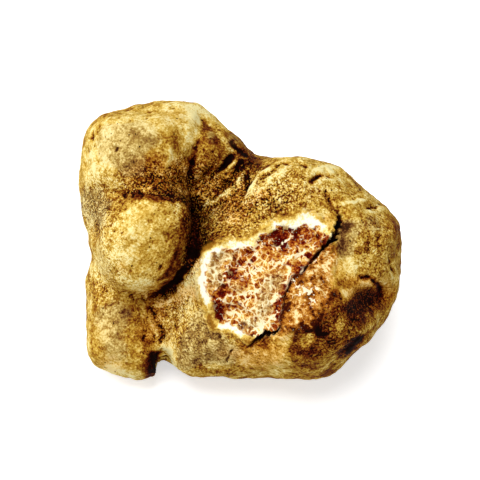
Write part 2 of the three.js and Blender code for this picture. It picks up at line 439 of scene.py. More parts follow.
# Furrows and ridges: a path across the face, a half width, and a depth or height.
FURROWS = {
    "crown_crease": ([(-9, 10.6), (-8.8, 12.7), (-8.2, 15.3), (-7.2, 18.8)], 0.4, 0.5),
    "cleft": ([(-8.3, 2), (-9, -3.6), (-11, -7.2), (-13.6, -9.6), (-17, -10.4)], 0.7, 1),
    "valley": ([(-20.8, 10), (-17, 10.5), (-13.4, 10.8), (-9.9, 10.2)], 0.8, 0.3),
    "shoulder_fold": ([(-4.8, 11.6), (-3.2, 13), (-1.4, 15.2)], 0.38, 0.85),
    "peak_fold": ([(-1.6, 17.5), (-0.5, 16.2), (1, 15.3)], 0.3, 0.5),
    "saddle_fold": ([(-3.9, 9.2), (-1.8, 10.5), (0.2, 13.2)], 0.5, 0.75),
    "low_saddle_fold": ([(1, 8.6), (1.5, 12)], 0.35, 0.7),
    "brow_pits": ([(4.3, 10.6), (6.1, 12.4), (8.7, 13.6), (11.2, 13.4), (11.4, 11.9)], 0.3, 0.45),
    "brow_root": ([(3, 6.3), (4.6, 7.6)], 0.3, 0.5),
    "brow_furrow": ([(12.1, 9.8), (13.6, 11.2), (15.2, 11.9), (17.6, 11.7)], 0.4, 0.75),
    "brow_split": ([(15.2, 9.4), (15.5, 7.6), (16.4, 6.2)], 0.25, 0.6),
    "temple_fold": ([(22.6, 6), (24.6, 6.1), (25.6, 6.6)], 0.35, 0.5),
    "upper_brow_fold": ([(17.6, 8.6), (20.6, 8.8), (22.4, 9.4)], 0.3, 0.3),
    "cheek_arc": ([(21.2, -6.5), (23.2, -6.9), (24.8, -8), (25.1, -9.6)], 0.4, 0.6),
    "low_cheek_fold": ([(24.1, -16), (20.6, -18.5), (17.6, -21.5), (15, -23.9)], 0.6, 0.4),
    "right_edge_fold": ([(26.9, -2.8), (27.9, -6.4)], 0.3, 0.5),
    "heel_split": ([(-2.7, -21.7), (-1, -19.6)], 0.2, 0.35),
    "upper_slit": ([(-26.6, 17.8), (-25.2, 19.4)], 0.25, 0.55),
    "lower_slit": ([(-27.7, 15.4), (-26.9, 17)], 0.25, 0.45),
    "web_fold": ([(-16.6, -11.5), (-15.4, -13.5), (-13.9, -17.2), (-14.3, -20)], 0.45, 0.5),
    "knob_foot": ([(-21.6, -9), (-19.4, -10), (-16.4, -10.2)], 0.5, 0.3),
    "knob_brow": ([(-23.4, 6), (-20.4, 8.2), (-15.6, 8.8), (-10.6, 7.9)], 1, 0.6),
    "toe_side": ([(-13.9, -20.8), (-13.3, -27)], 0.8, 2.3),
}
RIDGES = {
    "shoulder_ridge": ([(-3.9, 11.2), (-2.2, 12.8), (-0.6, 14.2)], 0.45, 0.5),
    "saddle_ridge": ([(-6.2, 6.2), (-3.1, 7.8), (-1.2, 9)], 0.5, 0.5),
    "middle_ridge": ([(-0.8, 9.4), (0.2, 11.4)], 0.55, 0.5),
    "root_ridge": ([(1, 6.8), (2.4, 9.4), (4, 11.6), (7.4, 13.2)], 0.7, 0.55),
    "outer_ridge": ([(3, 8.6), (5.6, 10.6), (8.4, 12)], 0.6, 0.4),
    "crown_ridge": ([(-13.8, 12.2), (-12.6, 14.6), (-12.8, 17.4)], 0.8, 0.3),
    "cheek_ridge": ([(16.8, 6.3), (19, 6.5), (21, 6.9), (22.9, 7.6)], 0.35, 0.35),
    "temple_ridge": ([(12.6, 12.4), (15.4, 13.2), (18.4, 12.6)], 0.5, 0.25),
}
FURROW_LIP, LIP_PLACE = 0.22, 2.2  # a furrow's raised lips: share of its depth, and half widths from its middle

# Named pores: a place, a radius and a depth.
PORES = [
    (-22, 16.2, 0.45, 0.7), (-17.2, -17.2, 0.5, 0.6), (-21.3, 1.4, 0.3, 0.4), (-14.2, -4.9, 0.35, 0.5),
]

# Pores scattered all over, and the least and greatest radius and depth.
SMALL_PORES = 260
PORE_SEED = 5
PORE_RADIUS = (0.16, 0.34)
PORE_DEPTH = (0.12, 0.34)

# The skin's unevenness, from slow swells to fine wrinkles: how long, how high, and where the noise starts.
UNEVENNESS = [(5.0, 0.34, 11), (2.4, 0.2, 23), (1.15, 0.11, 31), (0.6, 0.05, 47)]
SADDLE = (1, 9, 9, 5)  # middle and half widths of the wrinkled place between shoulder and body
SADDLE_WRINKLES = 0.28
WRINKLE_RUN = np.array([[0.62, -0.78, 0], [0.25, 0.2, 0], [0, 0, 0.5]])  # stretches the wrinkles along the fold
BODY_MIDDLE = (5, -4)  # of the round body, which has rings of wrinkles near its right rim
RING_WRINKLES = 0.3

# Small swells and hollows along the outline: (X, Y, height).
SWELL_HALF_WIDTH = 2.4
SWELLS = [
    (24.2, 7.4, -0.4), (20.8, 10.6, -0.4), (17.4, 13.2, -0.35), (13.6, 14.5, -0.3), (28.4, 2.2, 0.6),
    (28.9, -3.8, -0.45), (28.2, -9, 0.3), (26.6, -13.2, -0.35), (23.4, -17.4, 0.1), (19.6, -21.6, -0.5),
    (15, -24.4, 0.4), (9.4, -24.9, -0.35), (5.4, -24.8, -0.5), (-1, -24.8, 0.25), (-7.6, -24.6, -0.3),
    (-13.2, -22.2, -0.6), (-15.6, -24.4, -0.4), (-19.6, -24.9, -0.3), (-23, -23.9, -0.15), (-26.4, -21.6, 0.35),
    (-27.8, -17.2, 0.15), (-27.9, -12.6, 0.5), (-27.8, -9, 0.5), (-27, -3, -0.75), (-27.4, 1.2, -0.75),
    (-28.6, 5.2, 0.5), (-28.8, 9.2, 0.4), (-28.2, 15.8, -0.35), (-27.2, 19.6, 0.7), (-24.8, 22.2, 0.5),
    (-21, 23.6, -0.6), (-16.8, 24.6, -0.7), (-9.2, 24.7, 0.45), (-6.6, 23.8, 0.35), (-3.6, 21.2, -0.75),
    (-1.2, 19, -0.4), (1, 16.8, 0.2), (3.4, 15, -0.45), (6.6, 14.7, 0.4),
]


def fold_relief(places, front):
    """Furrows, ridges and named pores, as a height along the skin's normal."""
    height = np.zeros(len(places))
    near = np.flatnonzero(front > 0)
    drawn = wandered(wandered(places[near], 1.8, 0.4, 7.0), 0.6, 0.2, 3.0)
    patchy = 0.75 + 0.9 * noise_field(places[near], 1.0, 19)

    def along_path(path, half_width):
        away, along, _, _ = distance_to(curve_through(path), drawn)
        ends = 0.3 + 0.7 * smoothstep(0, 0.2, along) * smoothstep(1, 0.8, along)
        return away / half_width, ends

    for path, half_width, depth in FURROWS.values():
        away, ends = along_path(path, half_width)
        height[near] -= depth * ends * patchy * (bell(away, 1) - FURROW_LIP * bell(away - LIP_PLACE, 1))
    for path, half_width, rise in RIDGES.values():
        away, ends = along_path(path, half_width)
        height[near] += rise * ends * bell(away, 1)
    for x, y, radius, depth in PORES:
        away = np.hypot(drawn[:, 0] - x, drawn[:, 1] - y)
        height[near] -= depth * bell(away, radius)
    return height * front


def pore_relief(places, clear):
    """Small pores scattered all over the skin."""
    draw = np.random.default_rng(PORE_SEED)
    height = np.zeros(len(places))
    for centre in places[draw.choice(len(places), SMALL_PORES, replace=False)]:
        radius = draw.uniform(*PORE_RADIUS)
        depth = draw.uniform(*PORE_DEPTH)
        near = np.flatnonzero(np.abs(places - centre).max(axis=1) < 3 * radius)
        away = np.linalg.norm(places[near] - centre, axis=1)
        height[near] -= depth * bell(away, radius) * clear[near]
    return height


def skin_relief(places):
    """The uneven skin, with fine wrinkles where it folds and in rings near the body's rim."""
    height = sum(rise * noise_field(places, length, start) for length, rise, start in UNEVENNESS)
    x, y = places[:, 0], places[:, 1]
    middle_x, middle_y, half_x, half_y = SADDLE
    saddle = bell(np.hypot((x - middle_x) / half_x, (y - middle_y) / half_y), 1)
    across = wandered(places @ WRINKLE_RUN.T, 3.0, 0.5, 61)
    height += saddle * SADDLE_WRINKLES * (ridge_field(across, 1.15, 53) - 0.5)
    from_middle = np.hypot(x - BODY_MIDDLE[0], y - BODY_MIDDLE[1])
    rim = smoothstep(20, 25, from_middle) * (x > 8)
    rings = np.stack([from_middle, 0.12 * y, 0.12 * places[:, 2]], axis=1)
    height += rim * RING_WRINKLES * (ridge_field(rings, 0.9, 71) - 0.5)
    return height


def outline_relief(places):
    """The small swells and hollows along the outline."""
    height = np.zeros(len(places))
    for x, y, rise in SWELLS:
        height += rise * bell(np.hypot(places[:, 0] - x, places[:, 1] - y), SWELL_HALF_WIDTH)
    return height


# ----------------------------------------------------------
# The torn patch: its outline, and the splits that part it, as (X, Y, half width).

TORN_OUTLINE = [
    (-7.2, -7.6), (-6.6, -4), (-5.9, -1.7), (-3.9, -0.8), (-0.5, -0.5), (1.6, 0.1), (3.9, 1.5), (6.6, 3.1),
    (8.6, 3.8), (11.1, 4.7), (12.8, 4.6), (14.3, 3.6), (15.6, 2.2), (17.4, -0.8), (17.7, -3.5), (16.6, -7.6),
    (17.4, -9.9), (15.6, -13.3), (13.6, -16.3), (10.9, -16.9), (7.2, -17.4), (3, -18.2), (0.7, -17.5),
    (-1.6, -16.3), (-3.9, -15.7), (-4.9, -14.6), (-6.4, -11.2),
]
UPPER_SPLIT = [
    (16.2, 6.3, 0.06), (17.4, 5.2, 0.2), (17.8, 3.8, 0.6), (17.4, 1.9, 0.76), (16.4, -0.1, 0.5),
    (14.7, -1.7, 0.34), (13.3, -3.1, 0.28), (11.9, -4.6, 0.28), (11.1, -5.7, 0.06),
]
LOWER_SPLIT = [
    (9.3, -5.9, 0.06), (8.7, -7.3, 0.26), (8, -9, 0.34), (7.6, -10.7, 0.28), (7.1, -12.8, 0.16),
    (6.8, -13.9, 0.08), (7, -15.7, 0.12), (5.9, -17, 0.42), (3.8, -17.6, 0.6), (2.4, -18.4, 0.3),
    (1.2, -19.5, 0.08),
]

# Pits in the flesh, as patches: (X, Y, half width, half height, strength).
FLESH_PITS = [
    (-0.6, -4, 1.3, 0.7, 1), (-1.9, -5.8, 0.6, 0.9, 1), (-3.3, -8.4, 0.7, 0.6, 0.8),
    (-3.4, -10.1, 0.6, 0.5, 0.7), (-4.2, -12.8, 0.6, 1.2, 0.5), (7.6, 1, 1.8, 1.3, 0.2),
    (7.2, 1.4, 1.2, 0.9, 0.7), (6.6, -0.2, 1.3, 0.6, 0.8), (10.3, 1.9, 1.2, 0.8, 0.8), (14, 0.8, 0.5, 0.5, 0.8),
    (12.6, -2.9, 0.8, 0.8, 0.7), (1.6, -2, 1.4, 0.7, 0.6), (4.2, 0, 1.2, 0.8, 0.2), (10.8, -14.6, 1.2, 1, 0.7),
    (14.6, -9.4, 1, 0.7, 0.6),
]

# The white edge slopes down over a width; the wall behind it starts and ends this far inside the outline.
RIND_WIDTH, RIND_DROP = 1.1, 0.3
WALL_TOP, WALL_FOOT = 0.95, 1.7
LIP_HEIGHT, LIP_OUTSIDE, LIP_HALF_WIDTH = 0.12, 0.3, 0.35
# Stretches of X where the white edge is broader, or narrower below 0: where that sets in, is full, starts to
# fade and ends, and by how much.
EDGE_BROADER = [(8, 10, 12.5, 14.5, 0.9), (2.5, 4, 7.5, 9, -0.4)]
# The flesh lies this deep at the right and this much deeper at the left, going from one X to the other.
FLESH_DEPTH, FLESH_DEEPER, FLESH_FALLS = 0.15, 0.9, (16, 8)
FAR = 9  # further than any form of the tear reaches
SPLIT_DEPTH = 1.5
SPLIT_BANK = 1.5  # half width of the ground that a split lifts on its marbled side and lowers on the ragged one
PIT_DEPTH = 0.6

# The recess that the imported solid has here: its depth at the left and right, how wide its wall is, between
# which values of X the depth changes, and its outline.
CAD_DEPTH, CAD_DEPTH_RIGHT, CAD_WALL = 1.7, 0.6, 2.0
CAD_FADE = (6, 17)
CAD_OUTLINE = [
    (-7.2, -7.6), (-5.9, -1.9), (-0.5, -0.5), (3.9, 1.5), (8.6, 3.8), (13.4, 4.6), (16.6, 2.4), (17.6, -2.2),
    (17, -7.6), (15.6, -13.3), (11, -16.7), (7, -17.6), (2.4, -17.9), (-1.6, -16.4), (-5, -14.7),
]


def left_of_splits(places):
    """1 on the marbled side of the two splits and 0 on the ragged side, turning over a short way."""
    away, _, side, _ = distance_to(curve_through(UPPER_SPLIT + LOWER_SPLIT), places)
    return smoothstep(-0.5, 0.5, -side * away)


def fill_packed_tear(mesh):
    """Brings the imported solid's shallow recess back up to the run of the skin around it."""
    edges = edges_of(mesh)
    places = to_face(points_of(mesh))
    fade = smoothstep(*CAD_FADE, places[:, 0])
    inset = inset_in(CAD_OUTLINE, places)
    recess = (CAD_DEPTH + (CAD_DEPTH_RIGHT - CAD_DEPTH) * fade) * smoothstep(0, CAD_WALL, inset)
    facing = smoothstep(-4, 2, places[:, 2])
    filled = places + outward_of(mesh, edges, 25) * (recess * facing)[:, None]
    share = smoothstep(-2.5, 0, inset) * smoothstep(0, 3, places[:, 2])
    set_points(mesh, from_face(calmed(filled, edges, 40, share)))


def torn_relief(places, front):
    """The torn patch: a steep wall down from the skin's edge to uneven flesh, parted by two splits.
    Gives the height along the face's normal, how far each place is inside the tear and inside its white
    edge, how far clear of a split of what half width, and where the flesh has pits."""
    x = places[:, 0]
    ragged = wandered(wandered(places, 1.6, 0.3, 83), 0.55, 0.16, 89)
    inset = inset_in(TORN_OUTLINE, ragged)
    plate = left_of_splits(places)
    edge = inset + 0.35 * noise_field(places, 1.1, 107) * plate
    inner = edge
    for first, full, fading, last, broader in EDGE_BROADER:
        inner = inner - broader * smoothstep(first, full, x) * smoothstep(last, fading, x)
    depth = FLESH_DEPTH + FLESH_DEEPER * smoothstep(*FLESH_FALLS, x) * plate
    depth *= 0.75 + 0.5 * noise_field(places, 2.2, 109)
    height = -RIND_DROP * smoothstep(0, RIND_WIDTH, inset) * plate
    height -= depth * smoothstep(WALL_TOP, WALL_FOOT, inner)
    height += LIP_HEIGHT * bell(inset + LIP_OUTSIDE, LIP_HALF_WIDTH) * plate

    clear = np.full(len(places), float(FAR))
    half_split = np.zeros(len(places))
    for path in (UPPER_SPLIT, LOWER_SPLIT):
        away, _, side, half_width = distance_to(curve_through(path), wandered(ragged, 0.8, 0.17, 137))
        half_width = half_width * (0.9 + 1.0 * noise_field(places, 0.7, 127))
        nearer = away - half_width < clear
        half_split = np.where(nearer, half_width, half_split)
        clear = np.where(nearer, away - half_width, clear)
        height += np.where(side < 0, 0.35, -0.3) * bell(away, SPLIT_BANK) * smoothstep(0.1, 0.3, half_width)
    height -= SPLIT_DEPTH * smoothstep(0.1, -0.12, clear) * smoothstep(0.05, 0.3, half_split)

    flesh = smoothstep(1.0, 1.6, inset) + smoothstep(0.0, 1.0, inset) * (1 - plate)
    knobbly = 0.16 * noise_field(places, 1.3, 97) + 0.09 * noise_field(places, 0.6, 101)
    knobbly += (1 - plate) * 0.35 * noise_field(places, 2.0, 131)
    pitted = 0.6 * smoothstep(0.2, 0.5, noise_field(places, 1.8, 103)) * smoothstep(5.0, 1.5, inset)
    pitted = np.clip(pitted + patchwork(FLESH_PITS, places, 113, 0.3), 0, 1)
    height += np.clip(flesh, 0, 1) * (knobbly - PIT_DEPTH * pitted * smoothstep(1.2, 1.8, inset) * plate)
    return height * front, edge, inner, clear, half_split, pitted


def openness(places, normals, solid):
    """Share of the sky above each point that the lump itself leaves open within a short way."""
    count, reach, lift = 18, 16.0, 0.5
    turn = math.pi * (3 - math.sqrt(5))
    rays = []
    for n in range(count):
        rise = math.sqrt(1 - (n + 0.5) / count)
        flat = math.sqrt(1 - rise * rise)
        rays.append((flat * math.cos(n * turn), flat * math.sin(n * turn), rise))
    open_share = np.zeros(len(places))
    for n, (place, normal) in enumerate(zip(places, normals)):
        normal = Vector(normal)
        turned = normal.to_track_quat("Z", "Y")
        start = Vector(place) + lift * normal
        hits = sum(solid.ray_cast(start, turned @ Vector(ray), reach)[0] is not None for ray in rays)
        open_share[n] = 1 - hits / count
    return open_share


# ----------------------------------------------------------
# How the finish changes over the face.

# The skin's tone runs from darkest at 0 to pale at 1. Patches, as (X, Y, half width, half height, change),
# and lines, as (path, half width, change), make it darker or paler: partly the skin's own mottling, partly
# painted shade in the cleft, the folds and the hollows, and painted highlights on lit crests and the outline.
USUAL_TONE = 0.6
TONE_AND_PAINTED_LIGHT_PATCHES = [
    (19.3, -4.4, 0.9, 1.7, 0.35), (22.7, -0.4, 0.6, 0.5, -0.4), (22.2, -1.9, 0.5, 0.6, -0.45),
    (-9.6, -9, 2.2, 2.2, 0.14), (-16.2, -10.6, 2, 1.2, 0.18), (-20.2, -0.6, 1.6, 1.4, 0.14),
    (-23.6, 13.4, 1.6, 1.6, 0.12), (-19.8, 17, 1.6, 1.2, -0.14), (13.6, 5.6, 2.2, 1.2, 0.18),
    (-28.2, 4, 0.9, 2.4, -0.15), (-20.8, -12.2, 2, 1.6, -0.12), (-16, -18.6, 1.2, 0.9, -0.2),
    (-8.8, 5.8, 1.4, 1.4, 0.15), (19.3, 2.6, 0.9, 0.6, -0.4), (23.8, 6.8, 1.4, 0.7, -0.25),
    (18.5, -0.4, 1.2, 2.6, -0.12), (22, -4.8, 2.4, 2, 0.06), (14.8, -14.8, 0.5, 1, -0.5),
    (15.8, -18.7, 0.8, 0.5, -0.5), (9.5, -17.4, 0.5, 1.8, -0.4), (17.3, -9.8, 0.6, 1.2, -0.4),
    (18.6, -9.2, 0.6, 0.7, 0.45), (8.4, -18.2, 1.2, 1.6, 0.25), (12.6, -13, 0.9, 1, -0.25),
    (18.4, -15.4, 1.2, 0.9, 0.2), (12.2, -17.9, 1.4, 0.7, 0.25), (-1.6, 8.8, 2, 1.6, -0.15),
    (3.2, 10.2, 1.8, 1.2, -0.15), (-16.5, 12, 3.6, 1.2, -0.12), (-2.4, 12.2, 1.2, 1.2, -0.1),
    (-13.4, 4.4, 1.6, 3, -0.08), (6.6, 3.4, 2.2, 1, 0.2), (0.4, 0.8, 1.6, 0.9, 0.2),
    (-3.4, -2.2, 1.2, 1.2, 0.15), (8.2, -16.6, 2.6, 1.2, -0.1), (16.6, -8.6, 1.2, 2.2, -0.12),
    (-24.6, 13.4, 3.8, 3.4, 0.3), (-12, 21.8, 9, 2.8, 0.26), (-22, 19, 4, 3, 0.2), (-18.5, 3.4, 5, 3.4, 0.27),
    (-19, -3.5, 5, 5, 0.15), (-25.6, -5, 2.6, 5, 0.2), (20.6, -4.2, 3, 2, 0.2), (6, 11, 6, 2.4, 0.08),
    (-8.4, -10.4, 2, 5.5, 0.2), (20.5, 7.6, 5, 1.6, 0.18), (-24.5, -16, 3, 3, 0.16),
    (-13.6, 15, 3.4, 2.5, -0.05), (16.1, 11.4, 3, 2.4, 0.2), (3.6, -22, 7, 2, 0.18),
    (14.4, -22.6, 4, 1.8, 0.06), (-28.4, 10, 1.6, 6, 0.05), (-28, -8, 1.6, 10, 0.05), (-11.6, 4.6, 1.4, 2, 0.3),
    (16.8, -6.4, 1.6, 2.4, 0.22), (6.8, -21.4, 2, 1.6, 0.15), (17.4, -22, 2, 1.4, 0.2),
    (-22.5, -2.4, 2, 3, 0.15), (-18.5, -4.2, 1.6, 1.6, -0.12), (-16.2, -7.6, 2, 1.6, 0.25),
    (-11, -10.6, 3, 2, 0.06), (-14, -14, 1.6, 3, 0.15), (-13.2, -19.8, 1.2, 2, 0.35), (22.6, 5, 2.6, 1.4, 0.15),
    (-16.5, 9.2, 4.5, 1.4, -0.25), (-22.5, 7.5, 2, 1.8, 0.15), (-13.2, 8.8, 1.6, 2.6, -0.25),
    (-17.4, 9.2, 1.6, 1.2, 0.15), (-7, 18.6, 0.6, 1.8, -0.3), (3.4, 8.4, 1.6, 1.6, 0.15),
    (12.4, 9, 1.4, 1.6, 0.2), (18.2, 10.6, 1.4, 2, 0.15), (23.4, -16.6, 1.6, 1.6, 0.3),
    (-26.4, -11.2, 1.2, 1.8, 0.25), (-16.6, 9.4, 2, 1.4, 0.1), (-16, -14.6, 1.6, 1.6, 0.15),
    (-6.6, -13.2, 1.4, 1, 0.15), (-1.6, -13.8, 2.4, 0.9, 0.15), (-6.2, 20.8, 0.8, 1.5, -0.35),
    (-28, -3, 1.2, 5, -0.15), (-26.8, 4, 1, 3, 0.15), (18.4, 3.4, 1.2, 2, -0.15), (-21, 3.2, 2.2, 1.2, -0.1),
    (-24, 8.8, 1.6, 1.4, -0.15), (-17, 2.4, 1.4, 1.4, -0.1), (-8.2, -3.4, 0.9, 1.6, 0.35),
    (-15.2, -9.6, 2.2, 1, 0.2), (12.6, 7.2, 1.6, 1, 0.15), (15.2, 4.6, 1.6, 1, 0.15),
    (20.5, 4.4, 1.4, 1.4, 0.15), (10, 5.4, 2, 0.8, -0.1), (6.4, -13.6, 0.9, 1.8, -0.15),
    (15.4, -17, 2, 1, -0.2), (11, -16.8, 1.6, 1, -0.2), (21, -12.6, 2.4, 1.4, -0.12), (5, 0.4, 1.2, 1, 0.45),
    (9.4, -4.8, 1.2, 1, 0.25), (-18.4, -3.4, 1.4, 2, -0.1), (-19, -24.4, 3, 1, 0.25), (-17, 15, 4, 3, -0.12),
    (-13.5, 11, 5.6, 2.8, -0.16), (-2, 8.6, 7, 4.5, -0.14), (-3.6, 16.4, 2.8, 4, -0.25),
    (1.6, 14.2, 3.2, 2.6, -0.38), (-3.2, 11.6, 2, 1.8, -0.35), (0.4, 13.8, 1.6, 1.6, -0.15),
    (-1.4, 7, 1.6, 2, -0.15), (-7.4, 7.8, 1.8, 2.2, 0.2), (-6.8, -0.2, 1.3, 1.8, -0.5),
    (-16, -22.9, 1.3, 2.6, -0.65), (3.4, 11, 3.4, 2.4, -0.15), (-3.4, -3, 1.4, 1.2, 0.3),
    (7.6, -17.6, 1.4, 0.9, 0.25), (1.8, -17.4, 1.8, 0.8, -0.3), (-15, -9, 1.6, 1.2, 0.12),
    (2.4, -12, 2.4, 4, 0.05), (7.6, -0.6, 1.6, 1.2, -0.3), (-1.5, -7, 2.4, 2, -0.12),
    (-22.4, -22.6, 3.6, 2.6, 0.2), (-19.5, -17.6, 4, 2, -0.05), (18.4, 2.6, 0.8, 0.9, -0.35),
    (-5.4, 2.4, 2, 2, -0.2), (20.6, -17.6, 5, 3.4, -0.26), (11.6, -19.4, 5, 2.4, -0.35),
    (17, -21.4, 5, 2.6, -0.2), (11.6, -9.8, 2.6, 1.9, 0.25), (14.2, -3.6, 2.4, 2, 0.15),
    (10.9, -5.2, 1.6, 1.6, -0.5), (8.4, -11.2, 1, 3, -0.4), (-3.8, -11, 1.8, 4, -0.3), (4.8, 0.5, 4, 1.2, -0.4),
    (11.4, 0.2, 2.4, 1.2, -0.4), (3, -18.4, 3.2, 1.2, -0.6), (-6.2, -0.8, 1.6, 1.1, -0.4),
    (-4.4, -13.2, 1.4, 2.4, -0.35), (6.5, -13, 0.9, 2.4, -0.3), (9.5, -13.6, 1.2, 1.6, 0.35),
    (21.4, -14.2, 1.8, 1.3, -0.4), (3.6, -22.4, 2.4, 1.4, -0.2), (11, -22.6, 2.4, 1.4, -0.2),
    (6, 1.6, 2, 1, -0.3), (16, 0.6, 1.2, 1.2, -0.3), (24, 5, 1.6, 1.4, 0.15), (10, 13.2, 3, 1.2, 0.15),
    (15.6, 8, 1.6, 1.2, -0.2), (-25.2, -9.8, 1.4, 1.6, -0.15), (-19.5, -12, 1.4, 2, -0.1),
    (-9.9, 17, 1.4, 2.6, 0.12), (-7.6, 23.2, 4.4, 1.4, 0.22), (-14.5, 19, 2, 1.6, 0.12),
    (-21.5, 18.4, 2, 1.4, 0.12), (-27.8, 2, 1.4, 2.2, 0.3), (-24, -23.4, 3.6, 1.5, 0.25),
    (20.6, -2, 1.6, 2, 0.2), (19.4, -9.2, 1.2, 1.2, 0.3), (15.4, -8.6, 1.4, 1.8, -0.2),
    (-4.2, -14.6, 1.6, 1.2, -0.3), (-3.8, -0.7, 2.8, 0.8, -0.3), (12.4, -12, 1.6, 1.4, -0.15),
    (4.4, 9.4, 1.4, 2, -0.15), (-22.4, -10.8, 2, 2, 0.12), (22.4, 7, 1.6, 1.2, -0.1), (13, 9, 1.6, 1.6, -0.1),
    (13.2, -6.6, 2, 1.4, -0.2), (-16.6, -12.6, 4, 2.6, -0.04), (22.6, -10.6, 3.8, 2.3, -0.75),
    (21.6, -8, 1.8, 0.8, 0.1), (19.4, -12.4, 3, 1.4, -0.5), (23.4, -5.4, 2.6, 1.4, -0.22),
    (19.2, -0.8, 2.6, 2.8, -0.2), (-7.2, -16.4, 2.6, 3.4, -0.12), (28.6, 1, 1.2, 2, -0.1),
    (15.2, 6.4, 2.6, 1.6, -0.1), (-1.6, -18.6, 3, 1.4, 0.15), (2.6, -18.8, 2.6, 1.2, 0.25),
    (6.2, -18.6, 2, 1, 0.25), (-0.8, -22, 2.4, 1.4, 0.2), (7.2, -0.6, 1.6, 1.4, -0.25),
    (-2, -6.4, 1.6, 2.4, -0.15), (8.2, 3.8, 2, 1.2, -0.25), (23.2, -7.6, 1.8, 2, 0.2),
    (20.6, -9.6, 1.8, 1.6, 0.25), (16.6, -22, 2.2, 1.4, 0.2), (-8.4, 6.4, 1.4, 1.2, 0.2),
    (-3, 20.4, 1.4, 1.4, 0.25), (4, 14.8, 2, 0.9, 0.2), (-23.8, 5.6, 1.6, 1.2, 0.15),
    (-22.8, -14, 1.8, 1.4, 0.15), (-10, -16.6, 2, 1.4, 0.12), (8.8, -13.8, 1.2, 1.6, 0.2),
    (16.4, -15.3, 1.4, 1.2, -0.15), (-27.6, 14.2, 1.5, 2.6, 0.2), (-8.9, 18.5, 1.2, 3, 0.25),
    (12.2, -17.8, 1.6, 1.2, 0.2), (-6.8, 14.6, 1, 1.6, -0.2), (10.6, -21.8, 1.6, 1.2, -0.15),
    (-2.4, -12.2, 1.6, 1, 0.2), (-16.4, -18.4, 1.4, 1, -0.2), (-12.6, -15.2, 1.2, 1.2, -0.2),
    (9.4, -4.6, 0.9, 0.9, 0.25), (-2.8, 11.4, 1.4, 1.2, -0.2), (6.3, 13, 1.4, 1.8, -0.25),
    (-0.5, 17.2, 1.8, 1.4, -0.1), (-25.4, -10, 1.8, 2.4, -0.2), (-11.6, 6.2, 1.2, 1.2, -0.12),
    (4.4, 0.4, 1.2, 1, 0.25), (6.4, -13.4, 1, 1.6, -0.15), (-5.6, -11.8, 1.2, 1, -0.15),
    (14.2, -12, 1.4, 1.4, 0.15), (-17.4, 9.2, 2, 1.4, 0.12), (-2.6, -12.4, 2.2, 1.6, 0.1),
    (-5.4, -6.6, 1.2, 2.4, 0.15), (1.6, -14.8, 2, 1, 0.2), (-9.2, -6.6, 1.4, 3, 0.12),
    (-12.8, -11.4, 2.6, 1.6, 0.12), (-8.4, 6.2, 1.6, 1.2, 0.2), (-21.6, -5.2, 2, 1.8, 0.12),
    (22.8, -0.4, 2, 1.4, 0.12), (16, 8, 1.4, 1.4, -0.15), (27.4, 1.6, 1.2, 2, -0.2), (5.4, 4, 1.6, 1, -0.12),
    (13, -9.2, 1.4, 1, -0.15), (-12.6, 0.4, 1.4, 3, -0.12), (-2.8, 11.8, 1.6, 1.2, -0.15),
    (-13.4, -20.4, 1.4, 1.4, 0.3), (-4, 20, 1.6, 2, -0.12), (18.8, -3.6, 1.4, 3, -0.1),
    (-19.6, -21.4, 2, 1.4, -0.12), (13.8, -14.8, 3.2, 1.7, -0.6), (-22.6, 5.4, 1.6, 1.6, -0.2),
    (-26.2, 6.6, 2, 3.4, -0.1), (-8.6, -21.4, 4, 2, -0.1),
]
# Lines: mostly painted shade along the cleft, the folds, the knob's right side and the hollows, with a few painted
# highlights beside the folds.
SHADE_AND_HIGHLIGHT_LINES = [
    ([(-6.9, -1.2), (-8, -4.6), (-10.4, -8), (-13.6, -10.8), (-17, -11.8)], 1.1, -0.1),
    ([(7.4, 3.8), (12, 4.6)], 0.8, -0.12),
    ([(-5.1, 21.1), (-3.6, 19.3), (-2.1, 17.2), (-1.1, 15.4)], 0.5, 0.25),
    ([(-1.6, 17.5), (-0.5, 16.2), (1, 15.3)], 0.4, -0.5),
    ([(-2, 16.8), (-1.5, 15.6), (-0.9, 14.4)], 0.25, 0.35),
    ([(-8.3, 7), (-8, 4.8), (-7.8, 0.5), (-8.3, -2.4)], 1.15, -1.2),
    ([(-8.2, -2), (-9.3, -4.3), (-11.4, -7.3), (-14, -9.4)], 0.66, -1.1),
    ([(-10, 7), (-9.9, 2), (-10.8, -2.5), (-13, -6.6), (-15.6, -9.2)], 0.9, -0.45),
    ([(21.6, -11), (23.2, -10.2), (24.8, -9.3)], 0.9, -0.2),
    ([(21.4, -6.6), (23.4, -6.9), (25, -8.4)], 0.35, -0.3),
    ([(21.4, -17.6), (20.6, -18.8), (19.4, -20.4)], 0.5, -0.55), ([(-15.2, -20.6), (-15, -23.6)], 0.8, -0.6),
    ([(-18.4, 7.9), (-15.5, 7.7), (-12.5, 7.5), (-10.4, 7.3)], 0.8, -0.4),
    ([(-9, 10.4), (-8.8, 12.2), (-8.5, 13.8)], 0.55, -0.9), ([(-8.4, 14.4), (-7.6, 17.4)], 0.35, -0.25),
    ([(-2.9, 13.2), (-1.4, 15)], 0.5, -0.9), ([(-0.4, 12.6), (0.1, 14)], 0.45, -0.9),
    ([(1.2, 9.4), (1.3, 12)], 0.35, -0.9), ([(12.6, 10.6), (14.4, 11.6)], 0.35, -0.5),
    ([(24.1, -16), (20.6, -18.5), (17.6, -21.5), (15, -23.9)], 0.6, -0.25),
    ([(11.2, -15), (12, -16.2), (12.8, -16.3)], 0.5, -0.5),
    ([(13.5, -15.4), (14.3, -16.8), (15.4, -16.9)], 0.55, -0.5), ([(-14.8, -21), (-15.2, -25)], 1.2, -0.3),
]
DARK_KNEE, DARK_RANGE = -0.3, 0.35  # below the knee, patches that add up darken ever less

